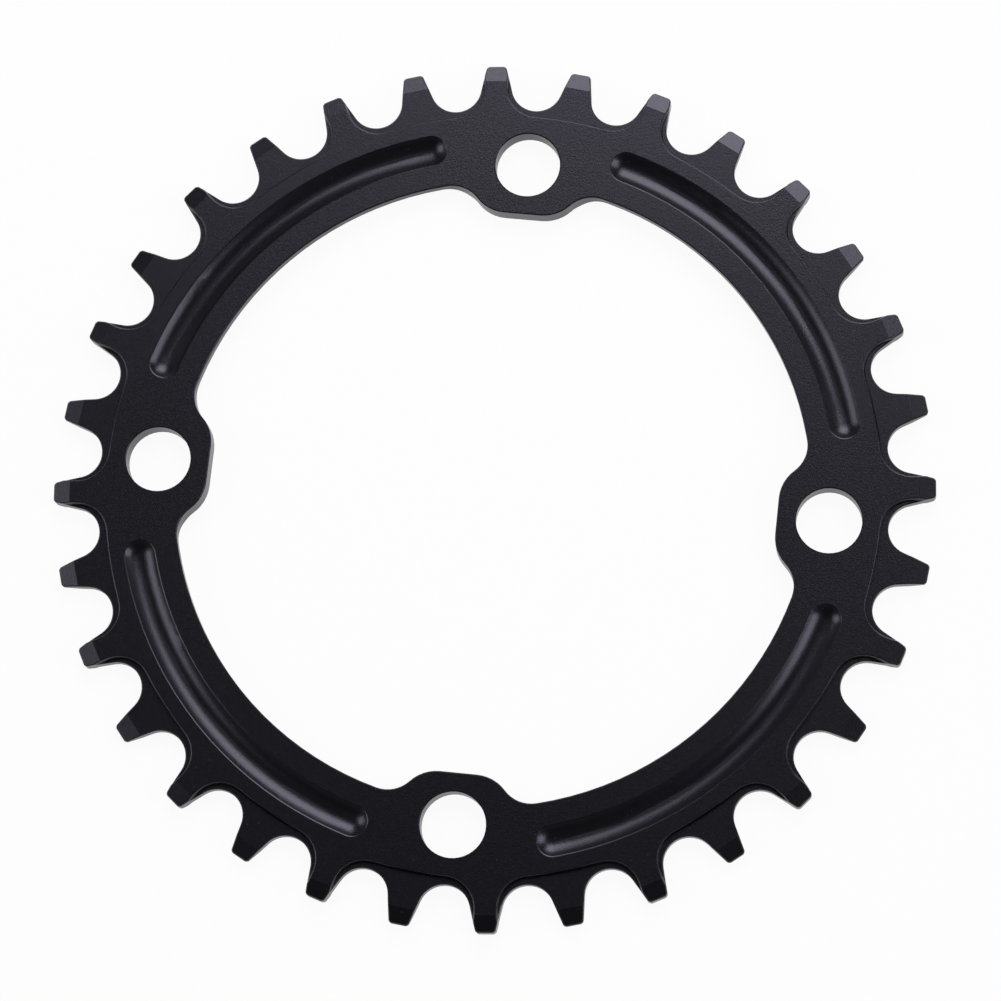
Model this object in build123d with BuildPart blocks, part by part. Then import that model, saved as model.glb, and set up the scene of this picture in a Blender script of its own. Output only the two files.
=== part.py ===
from build123d import *
from math import cos, pi, radians, sin, tan
import os

# Chain that runs on the ring. Narrow and wide teeth take turns, so teeth come in pairs.
chain_pitch = 12.7
tooth_pairs = 16

# Plate, with a bevel round the back of its opening
plate_thickness = 3.5
rim_width = 12.0
back_bevel = 1.75
back_bevel_angle = 45.0

# Teeth
seat_radius = 4.0
seat_drop = 3.75
flank_angle = 13.3
tip_rise = 3.25
tip_corner_break = 0.3
tip_bevel_length = 2.6
tip_bevel_angle = 13.5

# Relief round each narrow tooth, alike on both faces
narrow_tooth_thickness = 2.0
relief_land = 1.0
relief_wall_angle = 18.0
relief_corner_radius = 4.7
wide_tooth_crown = 3.4

# Bolt tabs
bolt_count = 4
bolt_circle_diameter = 104.0
bolt_hole_diameter = 10.1
tab_reach = 7.95
tab_flat_width = 5.7
tab_corner_radius = 6.0
tab_fillet_radius = 5.0

# Grooves in the front face, one between each two bolts
groove_width = 4.8
groove_depth = 1.0
groove_margin = 2.3
groove_end_gap = 16.15

# How far each cutter runs past the metal
overrun = 0.5

# Sizes that follow from the ones above
tooth_count = 2 * tooth_pairs
tooth_angle = 360 / tooth_count
pitch_radius = chain_pitch / (2 * sin(pi / tooth_count))
root_radius = pitch_radius - seat_drop
tip_radius = pitch_radius + tip_rise
inner_radius = root_radius - rim_width
bolt_circle_radius = bolt_circle_diameter / 2
relief_radius = root_radius - relief_land
relief_depth = (plate_thickness - narrow_tooth_thickness) / 2
relief_slope = tan(radians(relief_wall_angle))
back_bevel_slope = tan(radians(back_bevel_angle))
middle_plane = Plane.XY.offset(plate_thickness / 2)
below_back = Plane.XY.offset(-overrun)

# Space between two teeth: a roller seat that opens outwards along two straight flanks
flank_lean = radians(tooth_angle / 2 + flank_angle)
flank_foot_x = root_radius + seat_radius * (1 - sin(flank_lean))
flank_foot_y = seat_radius * cos(flank_lean)
flank_end_x = tip_radius + overrun
flank_end_y = flank_foot_y + (flank_end_x - flank_foot_x) * tan(flank_lean)
with BuildSketch() as tooth_space:
    with BuildLine():
        ThreePointArc((flank_foot_x, flank_foot_y), (root_radius, 0), (flank_foot_x, -flank_foot_y))
        Polyline(
            (flank_foot_x, -flank_foot_y),
            (flank_end_x, -flank_end_y),
            (flank_end_x, flank_end_y),
            (flank_foot_x, flank_foot_y),
        )
    make_face()


# Pads round the bolt holes, rectangles with rounded corners, grown all round by a given width
def bolt_pads(growth):
    corner_radius = tab_corner_radius + growth
    with BuildSketch() as pads:
        with PolarLocations(bolt_circle_radius, bolt_count):
            RectangleRounded(2 * (tab_reach + growth), tab_flat_width + 2 * corner_radius, corner_radius)
    return pads.sketch


# Opening of a given radius: a circle less the pads, which reach into it as tabs. It starts too
# small by the fillet radius, and growing it by that rounds the corners where tabs leave the rim.
def opening(radius):
    with BuildSketch() as rounded_opening:
        Circle(radius - tab_fillet_radius)
        add(bolt_pads(tab_fillet_radius), mode=Mode.SUBTRACT)
        offset(amount=tab_fillet_radius)
    return rounded_opening.sketch


# Outline of the plate: teeth with flat tips and broken corners, left standing between the
# spaces, and whole pads
with BuildSketch() as plate_outline:
    RegularPolygon(tip_radius, tooth_count, major_radius=False)
    with PolarLocations(0, tooth_count):
        add(tooth_space.sketch, mode=Mode.SUBTRACT)
    tip_corners = plate_outline.vertices().group_by(SortBy.DISTANCE)[-1]
    chamfer(tip_corners, length=tip_corner_break)
    add(bolt_pads(0))
    add(opening(inner_radius), mode=Mode.SUBTRACT)

# Cutter for the bevel at the back of one tooth's tip, made for a tooth with its back at height
# zero
bevel_start = tip_radius - tip_bevel_length
bevel_end = tip_radius + overrun
bevel_rise = (bevel_end - bevel_start) * tan(radians(tip_bevel_angle))
with BuildPart() as tip_bevel_cutter:
    with BuildSketch(Plane.XZ):
        with BuildLine():
            Polyline(
                (bevel_start, 0),
                (bevel_end, bevel_rise),
                (bevel_end, -overrun),
                (bevel_start, -overrun),
                close=True,
            )
        make_face()
    extrude(amount=chain_pitch / 2, both=True)

# Cutter for the back of the teeth: it clears all outside the rim down to the narrow teeth,
# except for each wide tooth, with walls that slope outwards to the face, and it takes the
# bevels off wide and narrow tips. The sketch is the mouth of the clearing, just below the back.
mouth_run = (relief_depth + overrun) * relief_slope
mouth_radius = relief_radius - mouth_run
mouth_reach = tip_radius + overrun + mouth_run
mouth_tooth_width = wide_tooth_crown - 2 * overrun * relief_slope
with BuildPart() as tooth_cutter:
    with BuildSketch(below_back) as relief_mouth:
        Circle(mouth_reach)
        Circle(mouth_radius, mode=Mode.SUBTRACT)
        with PolarLocations(mouth_reach, tooth_pairs, start_angle=tooth_angle / 2):
            Rectangle(2 * (mouth_reach - mouth_radius + overrun), mouth_tooth_width, mode=Mode.SUBTRACT)
        mouth_corners = relief_mouth.vertices().group_by(SortBy.DISTANCE)[0]
        fillet(mouth_corners, radius=relief_corner_radius + mouth_run)
    extrude(amount=relief_depth + overrun, taper=relief_wall_angle)
    with PolarLocations(0, tooth_pairs, start_angle=tooth_angle / 2):
        add(tip_bevel_cutter.part)
    with Locations((0, 0, relief_depth)):
        with PolarLocations(0, tooth_pairs, start_angle=-tooth_angle / 2):
            add(tip_bevel_cutter.part)

# Cutter for the bevel round the back of the opening, which runs out at the roots of the tabs
back_bevel_height = back_bevel / back_bevel_slope
with BuildPart() as back_bevel_cutter:
    with BuildSketch(below_back):
        add(opening(inner_radius + back_bevel + overrun * back_bevel_slope))
    extrude(amount=back_bevel_height + 2 * overrun, taper=back_bevel_angle)

# Cutter for one groove: a round-nosed path along an arc, with round ends
groove_round = (groove_width**2 / 4 + groove_depth**2) / (2 * groove_depth)
groove_radius = relief_radius - relief_depth * relief_slope - groove_margin - groove_width / 2
groove_height = plate_thickness - groove_depth + groove_round
groove_span = 360 / bolt_count - 2 * groove_end_gap
with BuildPart() as groove_cutter:
    with BuildSketch(Plane.XZ):
        with Locations((groove_radius, groove_height)):
            Circle(groove_round)
    revolve(axis=Axis.Z, revolution_arc=groove_span)
    with Locations((0, 0, groove_height)):
        with PolarLocations(groove_radius, 2, angular_range=groove_span, endpoint=True):
            Sphere(groove_round, rotation=(90, 0, 0))

with BuildPart() as chainring:
    # Plate with its bolt holes
    extrude(plate_outline.sketch, amount=plate_thickness)
    with PolarLocations(bolt_circle_radius, bolt_count):
        Hole(bolt_hole_diameter / 2)

    # Back and front of the teeth
    add(tooth_cutter.part, mode=Mode.SUBTRACT)
    mirror(tooth_cutter.part, about=middle_plane, mode=Mode.SUBTRACT)

    # Bevel round the back of the opening
    add(back_bevel_cutter.part, mode=Mode.SUBTRACT)

    # Grooves of the front face
    with PolarLocations(0, bolt_count, start_angle=groove_end_gap):
        add(groove_cutter.part, mode=Mode.SUBTRACT)
chainring.part.label = "chainring"

os.makedirs("parts", exist_ok=True)
export_step(chainring.part, "parts/chainring.step")
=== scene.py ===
import math

import bmesh
import bpy
from mathutils import Matrix, Vector


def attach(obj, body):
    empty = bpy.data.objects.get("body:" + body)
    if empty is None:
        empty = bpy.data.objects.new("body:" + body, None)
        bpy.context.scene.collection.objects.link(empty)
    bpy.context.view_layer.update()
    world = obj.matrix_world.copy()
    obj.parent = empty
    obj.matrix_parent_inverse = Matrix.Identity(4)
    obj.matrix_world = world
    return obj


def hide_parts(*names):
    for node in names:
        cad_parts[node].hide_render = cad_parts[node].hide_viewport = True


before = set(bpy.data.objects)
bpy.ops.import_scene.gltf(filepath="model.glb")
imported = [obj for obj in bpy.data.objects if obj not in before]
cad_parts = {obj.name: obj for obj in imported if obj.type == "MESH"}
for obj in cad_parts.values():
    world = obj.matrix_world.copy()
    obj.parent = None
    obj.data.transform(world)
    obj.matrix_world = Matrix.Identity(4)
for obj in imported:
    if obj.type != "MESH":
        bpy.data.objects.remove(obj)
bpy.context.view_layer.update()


# Chainring
# One plate of aluminium, milled to its outline, teeth and grooves. Every outer edge is
# broken a little, then the whole plate is bead blasted and anodised black.
outline_break = 0.00018
relief_break = 0.00011
fine_break = 0.00009
break_facets = 1
relief_break_facets = 2
break_roundness = 0.5
weld_distance = 1e-8
flat_limit = math.radians(0.05)
edge_limit = math.radians(20)
crease_limit = math.radians(12)

# How level a surface lies: the height of its normal, 0 on an upright wall and 1 on a flat face
upright_most = 0.1
relief_wall_least = 0.25
relief_wall_most = 0.4
level_least = 0.9
flat_least = 0.999

# The CAD plate, with triangles that lie in one plane joined, and a mark for faces of broken edges
plate = bmesh.new()
plate.from_mesh(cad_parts["chainring"].data)
bmesh.ops.remove_doubles(plate, verts=plate.verts, dist=weld_distance)
bmesh.ops.dissolve_limit(plate, angle_limit=flat_limit, verts=plate.verts, edges=plate.edges)
broken = plate.faces.layers.int.new("broken_edge")


def is_outer_edge(edge):
    return edge.is_convex


def is_front_outline(edge):
    lower, upper = sorted(face.normal.z for face in edge.link_faces)
    return edge.is_convex and abs(lower) < upright_most and upper > level_least


def is_relief_rim(edge):
    lower, upper = sorted(abs(face.normal.z) for face in edge.link_faces)
    return edge.is_convex and relief_wall_least < lower < relief_wall_most and upper > level_least


def lies_on_face(edge):
    return any(abs(face.normal.z) > flat_least for face in edge.link_faces)


def breaks_met(edge):
    return sum(face[broken] for face in edge.link_faces)


# Breaks the wanted sharp edges, apart from those that an earlier break has left
def break_edges(width, facets, wanted):
    sharp_edges = [edge for edge in plate.edges if edge.calc_face_angle() > edge_limit]
    made = bmesh.ops.bevel(
        plate,
        geom=[edge for edge in sharp_edges if wanted(edge) and not breaks_met(edge)],
        offset=width,
        offset_type="OFFSET",
        segments=facets,
        profile=break_roundness,
        affect="EDGES",
        clamp_overlap=False,
        loop_slide=False,
    )
    for face in made["faces"]:
        face[broken] = 1


# Breaks that run together at a corner leave points on one spot, and these are welded
break_edges(outline_break, break_facets, is_front_outline)
break_edges(relief_break, relief_break_facets, is_relief_rim)
break_edges(fine_break, break_facets, is_outer_edge)
bmesh.ops.remove_doubles(plate, verts=plate.verts, dist=weld_distance)

# Breaks meet the faces in crisp lines, and so do tooth ridges and the feet of the reliefs
for face in plate.faces:
    face.smooth = True
for edge in plate.edges:
    is_crease = edge.calc_face_angle() > crease_limit and (lies_on_face(edge) or breaks_met(edge))
    edge.smooth = not (is_crease or breaks_met(edge) == 1)

ring_mesh = bpy.data.meshes.new("chainring_blasted")
plate.to_mesh(ring_mesh)
plate.free()
ring = bpy.data.objects.new("chainring_blasted", ring_mesh)
bpy.context.collection.objects.link(ring)

# A hard clear skin of oxide, whose sheen is a little violet
oxide_ior = 1.551
oxide_sheen = (0.833, 0.794, 1.0, 1)

anodised = bpy.data.materials.new("black_anodised_blasted")
anodised.use_nodes = True
ring_tree = anodised.node_tree
skin = ring_tree.nodes["Principled BSDF"]
skin.inputs["Metallic"].default_value = 0
skin.inputs["IOR"].default_value = oxide_ior
skin.inputs["Specular Tint"].default_value = oxide_sheen
ring_place = ring_tree.nodes.new("ShaderNodeTexCoord")


# Cloudy unevenness that is fixed to the ring
def mottle(clouds_per_metre, detail):
    clouds = ring_tree.nodes.new("ShaderNodeTexNoise")
    clouds.inputs["Scale"].default_value = clouds_per_metre
    clouds.inputs["Detail"].default_value = detail
    ring_tree.links.new(ring_place.outputs["Object"], clouds.inputs["Vector"])
    return clouds.outputs["Fac"]


# One step of arithmetic in a finish, on plain numbers and on what other nodes give
def combine(tree, operation, *values):
    step = tree.nodes.new("ShaderNodeMath")
    step.operation = operation
    for socket, value in zip(step.inputs, values):
        if isinstance(value, bpy.types.NodeSocket):
            tree.links.new(value, socket)
        else:
            socket.default_value = value
    return step.outputs[0]


# Black dye that takes a little unevenly, with a few bright specks where a bead struck hard
deep_dye = (0.0024, 0.0022, 0.0031, 1)
thin_dye = (0.0032, 0.0030, 0.0041, 1)
dye_clouds_per_metre = 350
dye_cloud_detail = 4
speck_grey = (0.050, 0.050, 0.055, 1)
strikes_per_metre = 900
speck_radius = 0.07
speck_rarity = 0.6

dye = ring_tree.nodes.new("ShaderNodeMix")
dye.data_type = "RGBA"
dye.inputs["A"].default_value = deep_dye
dye.inputs["B"].default_value = thin_dye
ring_tree.links.new(mottle(dye_clouds_per_metre, dye_cloud_detail), dye.inputs["Factor"])
strikes = ring_tree.nodes.new("ShaderNodeTexVoronoi")
strikes.inputs["Scale"].default_value = strikes_per_metre
ring_tree.links.new(ring_place.outputs["Object"], strikes.inputs["Vector"])
in_strike = combine(ring_tree, "LESS_THAN", strikes.outputs["Distance"], speck_radius)
struck_hard = combine(ring_tree, "GREATER_THAN", strikes.outputs["Color"], speck_rarity)
speck = combine(ring_tree, "MULTIPLY", in_strike, struck_hard)
speckled_dye = ring_tree.nodes.new("ShaderNodeMix")
speckled_dye.data_type = "RGBA"
speckled_dye.inputs["B"].default_value = speck_grey
ring_tree.links.new(speck, speckled_dye.inputs["Factor"])
ring_tree.links.new(dye.outputs["Result"], speckled_dye.inputs["A"])
ring_tree.links.new(speckled_dye.outputs["Result"], skin.inputs["Base Color"])

# Blasting leaves the faces and grooves satin, and the steep milled walls smoother
wall_roughness = 0.18
face_roughness = 0.27
smooth_up_to_level = 0.1
satin_from_level = 0.3
patch_roughness = 0.08
patches_per_metre = 2400
patch_detail = 3

tilt = ring_tree.nodes.new("ShaderNodeSeparateXYZ")
ring_tree.links.new(ring_place.outputs["Normal"], tilt.inputs[0])
satin = ring_tree.nodes.new("ShaderNodeMapRange")
satin.inputs["From Min"].default_value = smooth_up_to_level
satin.inputs["From Max"].default_value = satin_from_level
satin.inputs["To Min"].default_value = wall_roughness
satin.inputs["To Max"].default_value = face_roughness
ring_tree.links.new(combine(ring_tree, "ABSOLUTE", tilt.outputs["Z"]), satin.inputs["Value"])
blast_patches = mottle(patches_per_metre, patch_detail)
uneven_satin = combine(ring_tree, "MULTIPLY_ADD", blast_patches, patch_roughness, satin.outputs[0])
ring_tree.links.new(uneven_satin, skin.inputs["Roughness"])

# Fine dimples of the beads
dimple_depth = 1.6e-5
dimples_per_metre = 3600
dimple_detail = 2

dimples = ring_tree.nodes.new("ShaderNodeBump")
dimples.inputs["Strength"].default_value = 1.0
dimples.inputs["Distance"].default_value = dimple_depth
ring_tree.links.new(mottle(dimples_per_metre, dimple_detail), dimples.inputs["Height"])
ring_tree.links.new(dimples.outputs["Normal"], skin.inputs["Normal"])
ring_mesh.materials.append(anodised)

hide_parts("chainring")
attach(ring, "root")


# Floor
# A wide white sweep that the ring lies on. It glows white to the camera and less so in the
# ring's own reflections, and it takes the soft shadow of the ring.
floor_half = 3.0
floor_white = (0.9, 0.9, 0.9, 1)
floor_glow = {"Is Camera Ray": 0.94, "Is Transmission Ray": 0.94, "Is Glossy Ray": 0.6}

floor_mesh = bpy.data.meshes.new("floor")
floor_corners = [
    (-floor_half, -floor_half, 0),
    (floor_half, -floor_half, 0),
    (floor_half, floor_half, 0),
    (-floor_half, floor_half, 0),
]
floor_mesh.from_pydata(floor_corners, [], [(0, 1, 2, 3)])
floor = bpy.data.objects.new("floor", floor_mesh)
bpy.context.collection.objects.link(floor)

sweep = bpy.data.materials.new("white_sweep")
sweep.use_nodes = True
sweep_tree = sweep.node_tree
sweep_tree.nodes.remove(sweep_tree.nodes["Principled BSDF"])
paper = sweep_tree.nodes.new("ShaderNodeBsdfDiffuse")
paper.inputs["Color"].default_value = floor_white
glow = sweep_tree.nodes.new("ShaderNodeEmission")
glow.inputs["Strength"].default_value = 1.0
floor_ray = sweep_tree.nodes.new("ShaderNodeLightPath")
glow_share = 0
for kind, share in floor_glow.items():
    kind_share = combine(sweep_tree, "MULTIPLY", floor_ray.outputs[kind], share)
    glow_share = combine(sweep_tree, "MAXIMUM", glow_share, kind_share)
glowing_paper = sweep_tree.nodes.new("ShaderNodeMixShader")
sweep_tree.links.new(glow_share, glowing_paper.inputs["Fac"])
sweep_tree.links.new(paper.outputs[0], glowing_paper.inputs[1])
sweep_tree.links.new(glow.outputs[0], glowing_paper.inputs[2])
floor_surface = sweep_tree.nodes["Material Output"].inputs["Surface"]
sweep_tree.links.new(glowing_paper.outputs[0], floor_surface)
floor_mesh.materials.append(sweep)


# Studio light
# Square softboxes stand round the ring: a strong one behind it, one to its left, one to its
# right, and a wide weak one in front. Each faces the middle of the ring.
def softbox(name, azimuth, off_vertical, distance, side, watts):
    turn = math.radians(azimuth)
    lean = math.radians(off_vertical)
    outwards = Vector((math.cos(turn), math.sin(turn), 0))
    towards = math.sin(lean) * outwards + Vector((0, 0, math.cos(lean)))
    lamp = bpy.data.lights.new(name, "AREA")
    lamp.shape = "SQUARE"
    lamp.size = side
    lamp.energy = watts
    stand = bpy.data.objects.new(name, lamp)
    stand.location = towards * distance
    stand.rotation_euler = (-towards).to_track_quat("-Z", "Y").to_euler()
    bpy.context.collection.objects.link(stand)


softbox("softbox_behind", azimuth=85, off_vertical=42.5, distance=1.18, side=0.80, watts=9.4)
softbox("softbox_left", azimuth=183, off_vertical=54.5, distance=1.20, side=0.64, watts=4.0)
softbox("softbox_right", azimuth=0, off_vertical=57, distance=1.20, side=0.70, watts=5.7)
softbox("softbox_front", azimuth=290, off_vertical=45, distance=1.20, side=1.30, watts=0.2)


# Room
# The studio beyond the softboxes. It is dim overhead and paler low down, and only the camera
# sees it as white.
room_overhead = 0.015
room_horizon = 0.25
horizon_height = 0.7
room_white = (1, 1, 1, 1)

room = bpy.data.worlds.new("studio")
bpy.context.scene.world = room
room.use_nodes = True
room_tree = room.node_tree
dim_room = room_tree.nodes["Background"]
dim_room.inputs["Color"].default_value = room_white
direction = room_tree.nodes.new("ShaderNodeTexCoord")
height = room_tree.nodes.new("ShaderNodeSeparateXYZ")
room_tree.links.new(direction.outputs["Generated"], height.inputs[0])
room_shade = room_tree.nodes.new("ShaderNodeMapRange")
room_shade.interpolation_type = "SMOOTHSTEP"
room_shade.inputs["From Max"].default_value = horizon_height
room_shade.inputs["To Min"].default_value = room_horizon
room_shade.inputs["To Max"].default_value = room_overhead
room_tree.links.new(height.outputs["Z"], room_shade.inputs["Value"])
room_tree.links.new(room_shade.outputs[0], dim_room.inputs["Strength"])
white_room = room_tree.nodes.new("ShaderNodeBackground")
white_room.inputs["Color"].default_value = room_white
white_room.inputs["Strength"].default_value = 1.0
room_ray = room_tree.nodes.new("ShaderNodeLightPath")
room_seen = room_tree.nodes.new("ShaderNodeMixShader")
room_tree.links.new(room_ray.outputs["Is Camera Ray"], room_seen.inputs["Fac"])
room_tree.links.new(dim_room.outputs[0], room_seen.inputs[1])
room_tree.links.new(white_room.outputs[0], room_seen.inputs[2])
room_tree.links.new(room_seen.outputs[0], room_tree.nodes["World Output"].inputs["Surface"])


# Camera
# It stands on the near side of the ring, a little to the right, and looks down on it.
camera_place = Vector((0.06753, -0.12734, 0.62494))
camera_aim = Vector((0.00169, -0.00159, 0.00348))
camera_roll = math.radians(-21.78)
camera_lens = 149.477
camera_sensor = 36
camera_reach = 20

camera_data = bpy.data.cameras.new("camera")
camera_data.lens = camera_lens
camera_data.sensor_width = camera_sensor
camera_data.clip_end = camera_reach
camera = bpy.data.objects.new("camera", camera_data)
look = (camera_aim - camera_place).to_track_quat("-Z", "Y").to_matrix().to_4x4()
camera.matrix_world = Matrix.Translation(camera_place) @ look @ Matrix.Rotation(camera_roll, 4, "Z")
bpy.context.collection.objects.link(camera)
bpy.context.scene.camera = camera
bpy.context.scene.view_settings.view_transform = "Standard"
